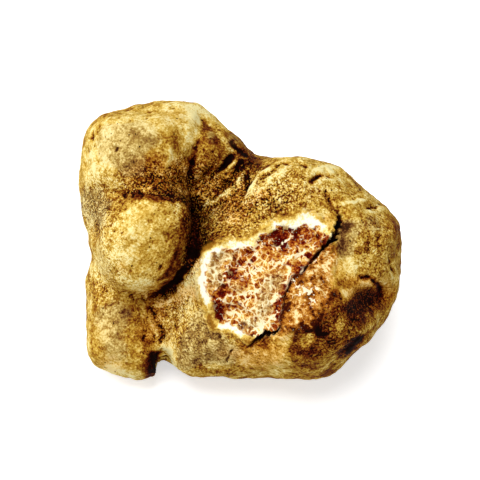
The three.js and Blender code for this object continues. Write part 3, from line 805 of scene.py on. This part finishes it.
# Where the skin and flesh are greyer, where the skin is rusty, and where it is sandy, as patches.
GREY_PATCHES = [
    (-7, -14, 1.6, 3, 0.6), (4, -10, 1.6, 3, 0.4), (-9.8, -22, 2.4, 1.6, 0.6), (-5, 18.8, 1.6, 2.4, 0.6),
    (-2.8, -2.8, 2.2, 1.3, 0.8), (6, -8, 2.4, 1.8, 0.6), (2, -15.5, 2.4, 1.4, 0.6), (4.4, -12, 1.6, 2.4, 0.5),
    (-4.8, -5, 1.5, 4.2, 1), (-1, -8, 2.4, 1.6, 0.5), (3, -12.2, 2, 2.2, 0.5), (0.8, -15.4, 2.4, 1.2, 0.6),
    (6.4, -6.6, 2.2, 1.6, 0.4), (-18.6, 18.6, 5.8, 4, 0.9), (-19.2, 13.2, 2.6, 2.8, 0.9), (-26, 6.4, 3, 4.4, 1),
    (-7, -17.5, 3.5, 3.8, 1), (-4.5, -20, 7, 3.2, 0.8), (18.9, -1.2, 2.4, 3.4, 0.8), (18.8, 2.4, 1.6, 1.4, 0.5),
    (23.5, 2.6, 4, 3, 0.6), (-22.8, -14.5, 4.2, 5.4, 0.8), (7, 6.6, 4, 2.4, 0.5), (-1.6, 18, 1.6, 2.6, 0.6),
    (-20, -1, 5, 6, 0.5), (14, 9.6, 5, 3, 0.5), (-22, -21, 4, 3, 0.5), (-23, 16, 4, 4, 0.7),
]
RUST_PATCHES = [
    (-15, 13, 7, 5, 0.4), (20.6, -18.8, 2, 1.6, 0.6), (18.6, -5, 3, 3, 0.3), (-1, 4, 4, 3, 0.4),
    (14.6, 12, 2, 1.4, 0.5), (-3.4, 8.6, 2, 1.6, 0.4), (2.8, 9.4, 2.6, 1.6, 0.5), (-14.4, -12, 3, 2, 0.6),
    (7.6, -17.2, 2, 1.2, 0.6), (19, -19, 2.6, 1.6, 0.6), (-3.4, -19.4, 2.6, 1.6, 0.5),
    (-7.6, -4, 1.8, 2.4, 0.8), (-12, -9.4, 4.6, 2.4, 1), (22.4, -9.4, 4, 2.6, 0.8), (-12, 22, 5, 3, 0.4),
    (-23, -22.5, 4, 2.5, 0.6), (-24, -16, 2.5, 3, 0.4), (-6.5, 13, 3, 2, 0.6), (3.5, -20.5, 6, 3, 1),
    (15.4, 3, 1.6, 2, 0.6), (-16, -16, 3, 4, 0.8), (-12, 11.5, 9, 3, 0.9), (-1, 9, 6, 5, 0.8),
    (-8.5, 2, 2.4, 8, 0.9), (12, 8.6, 6, 3, 0.4), (24, -9, 4, 3, 0.8), (14, -10, 4, 7, 0.7),
    (-20.5, -5, 2, 2, 0.5),
]
USUAL_SAND = 0.4
SAND_PATCHES = [
    (-12, -10.2, 5, 2.6, 0.4), (-8, -5, 2, 3.4, 1), (-14, 10.5, 9, 3.4, 1), (-1, 8, 9, 7, 1),
    (-26, 5, 3.6, 5, 0.9), (-24, -6, 4, 6, 0.5), (-5, -18, 9, 6, 0.35), (-13, -13, 5, 7, 0.5),
    (8, 9, 12, 4, 0.5), (24, -2, 4, 9, 0.4), (-8, 2, 3, 9, 1), (18, -18, 8, 6, 0.4), (22, -10.6, 3.2, 2.2, 0.3),
    (20.4, -19, 2, 2, 0.3),
]

# The larger white veins of the flesh, as lines: (path, half width, strength).
VEINS = [
    ([(-1.5, -4.3), (1.2, -4.9), (1.9, -5.8), (4.5, -4.9), (6.6, -4.3), (8.4, -2.8), (9.8, -2.5), (11.3, -2)],
     0.5, 1),
    ([(6, -1.2), (6.9, -1), (8, -0.1), (8.7, 1.4), (9.6, 2.4)], 0.36, 1.1),
    ([(-4.2, -10.9), (-1.8, -10.8), (0.9, -9.6), (3, -9), (3.9, -7.2), (4.5, -6.3)], 0.4, 1),
    ([(-2.7, -14.4), (-0.6, -13.5), (1.8, -12.6), (3.6, -11.7), (5.4, -10.8), (6.4, -9.4)], 0.45, 1),
    ([(1.7, -0.6), (2.1, -1.4), (2.7, -2.9), (4.2, -3.6)], 0.36, 0.8),
    ([(-2.1, -3.2), (-2.9, -6.1), (-4.7, -9)], 0.36, 1), ([(1.9, -5.8), (2.2, -7.6), (1.2, -9.4)], 0.32, 0.7),
    ([(11.2, -2), (12.6, -1.6), (13.8, -0.2)], 0.29, 0.7), ([(8.6, -4.6), (8.5, -5.9), (7.6, -7.8)], 0.43, 1),
    ([(9.4, -7.2), (11, -8.6), (12.4, -9.6), (13, -11.4)], 0.54, 1.1),
    ([(10, -10.2), (11.2, -9.4), (13.6, -8.8)], 0.5, 1.4),
    ([(11.6, -8.2), (12.2, -9.4), (13.4, -11.2)], 0.4, 1.1),
    ([(12, -4.6), (13.8, -3.4), (14.6, -1.8)], 0.29, 0.6), ([(2.2, -16.4), (2.9, -16.2)], 0.9, 1.3),
    ([(4, -15.4), (5.2, -14.8), (6.2, -13.4)], 0.72, 0.9), ([(-3.6, -3.6), (-4.8, -5), (-4.4, -7)], 0.4, 0.7),
]


# ----------------------------------------------------------
# The skin with all its forms, and the numbers that it keeps for the finish.

def keep_value(mesh, name, values):
    """Stores one number for each point, for the finish to read."""
    layer = mesh.attributes.new(name, "FLOAT", "POINT")
    layer.data.foreach_set("value", np.ascontiguousarray(values, np.float32))


def outward_of(mesh, edges, rounds):
    """The skin's general outward direction on the face, without its small forms."""
    outward = calmed(normals_of(mesh) @ FACE_AXES.T, edges, rounds)
    return outward / np.linalg.norm(outward, axis=1)[:, None]


def fine_skin():
    """The even skin, finest about the torn patch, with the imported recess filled."""
    mesh = even_skin()
    halve_edges(mesh, to_face(points_of(mesh))[:, 2] > FACE_BACK)
    fill_packed_tear(mesh)
    places = to_face(points_of(mesh))
    halve_edges(mesh, (inset_in(TORN_OUTLINE, as_seen(places)) > -TORN_REACH) & (places[:, 2] > TORN_BACK))
    return mesh


def keep_tones(mesh, seen, turned_front, folds):
    """Stores how the tone, the greyness, the rust and the sand change over the skin, and the veins. The tone
    carries painted shade and painted highlights as well as the skin's own mottling.
    """
    crests, dips = np.maximum(folds, 0), np.minimum(folds, 0)
    shade_and_highlight_lines = linework(SHADE_AND_HIGHLIGHT_LINES, seen, 9)
    tone = patchwork(TONE_AND_PAINTED_LIGHT_PATCHES, seen, 5)
    tone = np.where(tone < DARK_KNEE, DARK_KNEE - DARK_RANGE * np.tanh((DARK_KNEE - tone) / DARK_RANGE), tone)
    # Painted highlights on the fold crests and painted shade in the furrows, added to the tone.
    tone += shade_and_highlight_lines + 0.95 * crests + 0.35 * dips
    sand = patchwork(SAND_PATCHES, seen, 41) - 1.5 * crests + 0.8 * shade_and_highlight_lines
    keep_value(mesh, "tone", USUAL_TONE + tone * turned_front)
    keep_value(mesh, "grey", patchwork(GREY_PATCHES, seen, 17) * turned_front)
    keep_value(mesh, "vein", linework(VEINS, seen, 151))
    keep_value(mesh, "rust", (patchwork(RUST_PATCHES, seen, 29) - 2 * crests) * turned_front)
    keep_value(mesh, "sand", USUAL_SAND + (np.clip(sand, 0, 1) - USUAL_SAND) * turned_front)


def truffle_mesh():
    mesh = fine_skin()
    edges = edges_of(mesh)
    places = to_face(points_of(mesh))
    seen = as_seen(places)
    outward = outward_of(mesh, edges, 6)
    front = smoothstep(*TORN_FADE, places[:, 2])
    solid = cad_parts["truffle"].data
    sky = openness(places, outward, BVHTree.FromPolygons(
        [Vector(p) for p in to_face(points_of(solid))], [p.vertices for p in solid.polygons]))

    torn, inset, inner, clear, half_split, pitted = torn_relief(seen, front)
    skin = np.where(front > 0, smoothstep(0.4, -0.3, inset), 1)
    folds = fold_relief(seen, smoothstep(*FOLD_FADE, places[:, 2])) * skin
    height = (skin_relief(places) + pore_relief(places, skin)) * skin + folds + outline_relief(seen)
    above_floor = from_face(places)[:, 2] / MM
    height *= smoothstep(*FOOT_FADE, above_floor)
    points = from_face(places + outward * (height + torn)[:, None])
    points[:, 2] = np.maximum(points[:, 2], 0)
    set_points(mesh, points)

    made = to_face(points_of(mesh))
    dip = ((calmed(made, edges, 8) - made) * (normals_of(mesh) @ FACE_AXES.T)).sum(axis=1)
    keep_value(mesh, "inset", np.where(places[:, 2] > 0, inset, -FAR))
    keep_value(mesh, "inner", inner)
    keep_value(mesh, "clear", np.where(places[:, 2] > 0, clear, FAR))
    keep_value(mesh, "plate", left_of_splits(seen))
    keep_value(mesh, "pitted", pitted)
    keep_value(mesh, "half_split", half_split)
    keep_value(mesh, "sky", sky)
    keep_value(mesh, "dip", dip)
    keep_tones(mesh, seen, smoothstep(*TONE_FADE, places[:, 2]), folds)
    layer = mesh.attributes.new("place", "FLOAT_VECTOR", "POINT")
    layer.data.foreach_set("vector", made.astype(np.float32).ravel())
    mesh.polygons.foreach_set("use_smooth", np.ones(len(mesh.polygons), bool))
    return mesh


# ----------------------------------------------------------
# The finish of skin and flesh. Each colour runs through its stops as its own level rises.

SKIN_COLOURS = [
    (-0.05, (14, 3, 1)), (0.12, (68, 14, 5)), (0.28, (112, 50, 14)), (0.44, (150, 98, 26)),
    (0.58, (184, 138, 42)), (0.72, (213, 174, 74)), (0.88, (239, 208, 118)), (1.05, (254, 239, 172)),
]
GREY_SKIN_COLOURS = [(0.1, (70, 44, 20)), (0.5, (150, 126, 70)), (0.95, (230, 210, 150))]
RUST_TINT = (1.0, 0.72, 0.5, 1)
FLESH_COLOURS = [
    (-0.1, (70, 2, 0)), (0.12, (116, 24, 6)), (0.34, (164, 82, 22)), (0.56, (200, 132, 44)),
    (0.78, (226, 176, 86)), (1.05, (252, 230, 160)),
]
GREY_FLESH_COLOURS = [(0.1, (92, 58, 24)), (0.5, (170, 146, 84)), (0.95, (244, 236, 196))]
BROWN_FLESH_COLOURS = [
    (0.02, (56, 12, 2)), (0.3, (136, 70, 12)), (0.55, (186, 118, 36)), (0.78, (220, 164, 80)),
    (1.0, (252, 228, 166)),
]
# Veins turn golden in the pits: a painted warm tint for the light in their shade.
VEIN_COLOURS = [(0.2, (255, 236, 186)), (0.6, (255, 214, 130))]  # by how pitted the flesh is
BRIGHT_VEIN = srgb(255, 240, 204)
SPLIT_BANK_COLOURS = [(-5.5, (255, 238, 196)), (-4.0, (104, 30, 10))]  # by Y: pale along the lower split
RIND_COLOURS = [(0.12, (160, 110, 30)), (0.4, (230, 192, 92)), (0.58, (250, 234, 160)), (0.74, (255, 252, 232))]
GOLDEN_COLOURS = [(0.2, (166, 112, 28)), (0.5, (234, 192, 82)), (0.8, (255, 240, 172))]
# Near-black inside the splits, more so as they widen: painted shade in the cracks.
SPLIT_SHADE_COLOURS = [(0.1, (104, 38, 14)), (0.3, (52, 10, 4)), (0.5, (14, 5, 3))]  # by the split's half width

# The numbers that the mesh keeps for each of its points.
KEPT_NUMBERS = (
    "inset", "inner", "clear", "half_split", "plate", "pitted", "sky", "dip", "tone", "grey", "rust", "sand", "vein")

GRAIN_SIZE, COARSE_GRAIN_SIZE = 0.22, 0.5
DOT_SIZE = 1.0
FLESH_CELL_SIZE = 1.15
DARKEST_LEVEL = -0.12
BRIGHTEST_GRAIN = 0.84
BUMP_DEPTH = 0.16


class TruffleFinish(Finish):
    """Clouds of three sizes, each from -0.5 to 0.5, and grains of two run through all of it."""

    def __init__(self):
        super().__init__(bpy.data.materials.new("truffle_skin_and_flesh"))
        self.numbers = {name: self.attribute(name) for name in KEPT_NUMBERS}
        self.place = self.attribute("place", "Vector")
        self.across, self.upward = (self.node("SeparateXYZ", {}, {0: self.place}, axis) for axis in "XY")
        self.broad = self.cloud(self.place, 4.0, 3) - 0.5
        self.middling = self.cloud(self.place, 1.5, 4, 0.6) - 0.5
        self.fine = self.cloud(self.place, 0.42, 4, 0.65) - 0.5
        self.grain = self.cell_number(self.place, GRAIN_SIZE)
        self.coarse_grain = self.cell_number(self.shifted(self.place, 0.4, 0.1), COARSE_GRAIN_SIZE) - 0.5

    def kept(self, *names):
        """The numbers that the mesh keeps under these names."""
        return [self.numbers[name] for name in names]

    def dots(self):
        """Small dark dots, in about half of their cells and only in clusters."""
        place = self.shifted(self.place, 0.8, 0.3)
        dot = self.between(0.19, 0.1, self.cells(place, DOT_SIZE, "F1", "Distance"))
        chosen = self.between(0.5, 0.6, self.cell_number(place, DOT_SIZE))
        clustered = self.between(0.46, 0.56, self.cloud(self.shifted(self.place, 3.0, 0.5), 3.4, 2))
        return dot * chosen * clustered

    def skin(self):
        """Its tone wanders and is broken up by sand grains; painted shade darkens every dip and deep place, and a
        painted highlight lightens each small bump.
        """
        tone, sand, sky, dip, grey, rust = self.kept("tone", "sand", "sky", "dip", "grey", "rust")
        patch = self.between(0.46, 0.54, self.cloud(self.shifted(self.place, 2.0, 0.6), 2.2, 5, 0.6))
        level = tone + 0.85 * self.broad + (0.85 - 0.2 * sand) * self.middling + (1.15 + 0.2 * sand) * self.fine
        level = level - 0.9 * self.dots() + 0.14 * (patch - 0.5) - 0.02
        # Painted shade: darker in the small dips and where the lump hides much of the sky; painted highlight on the
        # small bumps.
        level = level - 0.5 * self.between(0.0, 0.2, dip) + 0.1 * self.between(0.0, -0.12, dip)
        level = level - 0.3 * self.between(0.7, 0.2, sky)
        level = self.node("Math", {"operation": "MAXIMUM"}, {0: level, 1: DARKEST_LEVEL})
        speck = self.node("Math", {"operation": "MINIMUM"}, {0: self.grain, 1: BRIGHTEST_GRAIN})
        level = level + (speck - 0.49 - 0.04 * sand) * (0.2 + 0.9 * sand)
        level = level + self.coarse_grain * (0.08 + 0.06 * sand)
        level = level + 0.8 * self.between(0.8, 0.9, self.grain) * self.between(0.4, 0.0, level) * sand
        greyed = 0.5 * self.between(0.42, 0.72, grey * (1.0 + self.middling + 0.6 * self.fine))
        rusted = 0.7 * self.between(0.2, 0.9, rust * (1.0 + 1.2 * self.middling))
        skin = self.blend(greyed, self.ramp(level, SKIN_COLOURS), self.ramp(level, GREY_SKIN_COLOURS))
        return self.blend(rusted, skin, RUST_TINT, "MULTIPLY")

    def marbled_flesh(self, wall, cell):
        """Cells from red-brown to pink, walled by white veins, with a few larger veins through them."""
        tone, grey, vein, pitted, clear, dip = self.kept("tone", "grey", "vein", "pitted", "clear", "dip")
        tone = tone - USUAL_TONE
        redness = self.between(-4.0, 2.5, self.upward - 0.25 * self.across)
        lines = wall + 0.4 * self.fine + 0.7 * self.middling - 0.06 * vein
        shown = self.between(0.36, 0.56, self.cloud(self.shifted(self.place, 3.0, 0.5), 2.0, 2))
        shown = self.between(0, 1, shown + vein + 1.2 * tone)
        netted = self.between(0.25, 0.0, lines) * (0.3 + 0.7 * shown) * (1 - pitted)
        level = 0.4 * cell + 0.3 * self.coarse_grain + 2.3 * self.fine + 1.4 * self.middling - 0.24 * redness
        # Painted shade: darker in the pits and the small dips of the flesh.
        level = level + 0.16 + 0.8 * tone + 0.4 * netted - 0.45 * pitted - 0.25 * self.between(0.03, 0.2, dip)
        veined = self.between(0.07, 0.03, lines + 0.06 * pitted) * shown * (0.9 - 0.5 * pitted)
        flesh = self.blend(veined, self.ramp(level, FLESH_COLOURS), self.ramp(pitted, VEIN_COLOURS))
        by_split = self.between(0.5, 0.1, clear + 0.6 * self.fine) * self.between(-9, -6, self.upward)
        flesh = self.blend(0.8 * by_split, flesh, self.ramp(self.upward, SPLIT_BANK_COLOURS))
        greyed = 0.6 * self.between(0.2, 0.9, grey * (1.0 + 1.2 * self.middling))
        return self.blend(greyed, flesh, self.ramp(level, GREY_FLESH_COLOURS))

    def brown_flesh(self, wall):
        """Right of the splits the flesh is ragged and browner."""
        tone, clear, dip = self.kept("tone", "clear", "dip")
        thin = self.between(0.09, 0.02, wall + 0.4 * self.fine) * self.between(-0.08, 0.1, self.broad)
        level = 1.8 * self.fine + 3.0 * self.middling + 1.2 * self.broad + tone + 0.42 - USUAL_TONE
        # Painted shade in the small dips; the flesh is also darker close to the splits.
        level = level - 0.15 * self.between(1.6, 0.2, clear) + 0.35 * thin - 0.3 * self.between(0.03, 0.2, dip)
        return self.ramp(level, BROWN_FLESH_COLOURS)

    def flesh(self, plate):
        """The marbled and the brown flesh, with the brightest veins across both."""
        bent = self.shifted(self.shifted(self.place, 2.6, 0.6), 0.8, 0.45)
        wall = self.cells(bent, FLESH_CELL_SIZE, "DISTANCE_TO_EDGE", "Distance")
        cell = self.cell_number(bent, FLESH_CELL_SIZE)
        flesh = self.blend(1 - plate, self.marbled_flesh(wall, cell), self.brown_flesh(wall))
        vein, = self.kept("vein")
        bright = self.between(0.05, 0.0, wall - 0.1 * vein + 0.6 * self.fine + 0.09)
        return self.blend(bright, flesh, BRIGHT_VEIN)

    def finished(self):
        """Skin, the torn edge, white or golden, then the flesh within it, and the splits through that."""
        inset, inner, plate, clear, half_split, tone, sand = self.kept(
            "inset", "inner", "plate", "clear", "half_split", "tone", "sand")
        golden = 0.75 * self.between(-1.3, -0.2, inset + 2.0 * self.middling) * plate
        white = self.between(-0.3, 0.15, inset + self.fine + 1.3 * self.middling) * plate
        open_flesh = self.between(0.7, 1.05, inner + self.fine + 1.5 * self.middling)
        ragged = self.between(-0.3, 0.9, inset + 4.5 * self.middling - 0.3)
        split = self.between(0.08, -0.08, clear + 0.5 * self.fine)
        rind_level = self.fine + 0.8 * self.middling + tone + 0.3 * self.between(-0.4, 0.5, inset) + 0.5 - USUAL_TONE
        colour = self.blend(golden, self.skin(), self.ramp(rind_level, GOLDEN_COLOURS))
        colour = self.blend(white, colour, self.ramp(rind_level, RIND_COLOURS))
        colour = self.blend(open_flesh * plate + ragged * (1 - plate), colour, self.flesh(plate))
        # Inside a split the colour goes to near black as it widens: painted shade in the crack.
        colour = self.blend(split, colour, self.ramp(half_split, SPLIT_SHADE_COLOURS))
        height = 0.7 * self.fine + 0.3 * self.grain * sand + 0.5 * self.cloud(self.place, 0.26, 3)
        bump = self.node("Bump", {}, {"Strength": 0.8, "Distance": BUMP_DEPTH * MM, "Height": height}, "Normal")
        shader = self.node("BsdfPrincipled", {}, {
            "Base Color": colour, "Roughness": 0.72 - 0.14 * open_flesh, "Normal": bump,
            "Specular IOR Level": 0.02}, "BSDF")
        self.node("OutputMaterial", {}, {"Surface": shader}, None)
        return self.owner


# ----------------------------------------------------------
# The room.

def floor_finish():
    """White to the eye, with the object's shadow on it; to other rays a plain pale floor."""
    f = Finish(bpy.data.materials.new("pale_floor"))
    lit = f.node("BsdfDiffuse", {}, {"Color": (0.95, 0.95, 0.95, 1)}, "BSDF")
    glow = f.node("Emission", {}, {"Color": WHITE, "Strength": FLOOR_GLOW}, "Emission")
    pale = f.node("BsdfDiffuse", {}, {"Color": (0.5, 0.5, 0.5, 1)}, "BSDF")
    surface = f.seen_or_else(f.node("AddShader", {}, {0: lit, 1: glow}, 0), pale)
    f.node("OutputMaterial", {}, {"Surface": surface}, None)
    return f.owner


def add_floor():
    corners = [(x * FLOOR_HALF_WIDTH, y * FLOOR_HALF_WIDTH, 0) for x, y in ((-1, -1), (1, -1), (1, 1), (-1, 1))]
    mesh = bpy.data.meshes.new("floor")
    mesh.from_pydata(corners, [], [(0, 1, 2, 3)])
    mesh.materials.append(floor_finish())
    object_of("floor", mesh)


def light_the_room():
    f = Finish(bpy.data.worlds.new("room"))
    bpy.context.scene.world = f.owner
    room = f.node("Background", {}, {"Color": WHITE, "Strength": ROOM_LIGHT}, "Background")
    backdrop = f.node("Background", {}, {"Color": WHITE, "Strength": 1.0}, "Background")
    f.node("OutputWorld", {}, {"Surface": f.seen_or_else(backdrop, room)}, None)
    add_lamps()


add_camera()
add_floor()
light_the_room()
bpy.context.scene.view_settings.view_transform = "Standard"

truffle = object_of("truffle_body", truffle_mesh())
truffle.data.materials.append(TruffleFinish().finished())
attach(truffle, "root")
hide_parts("truffle")
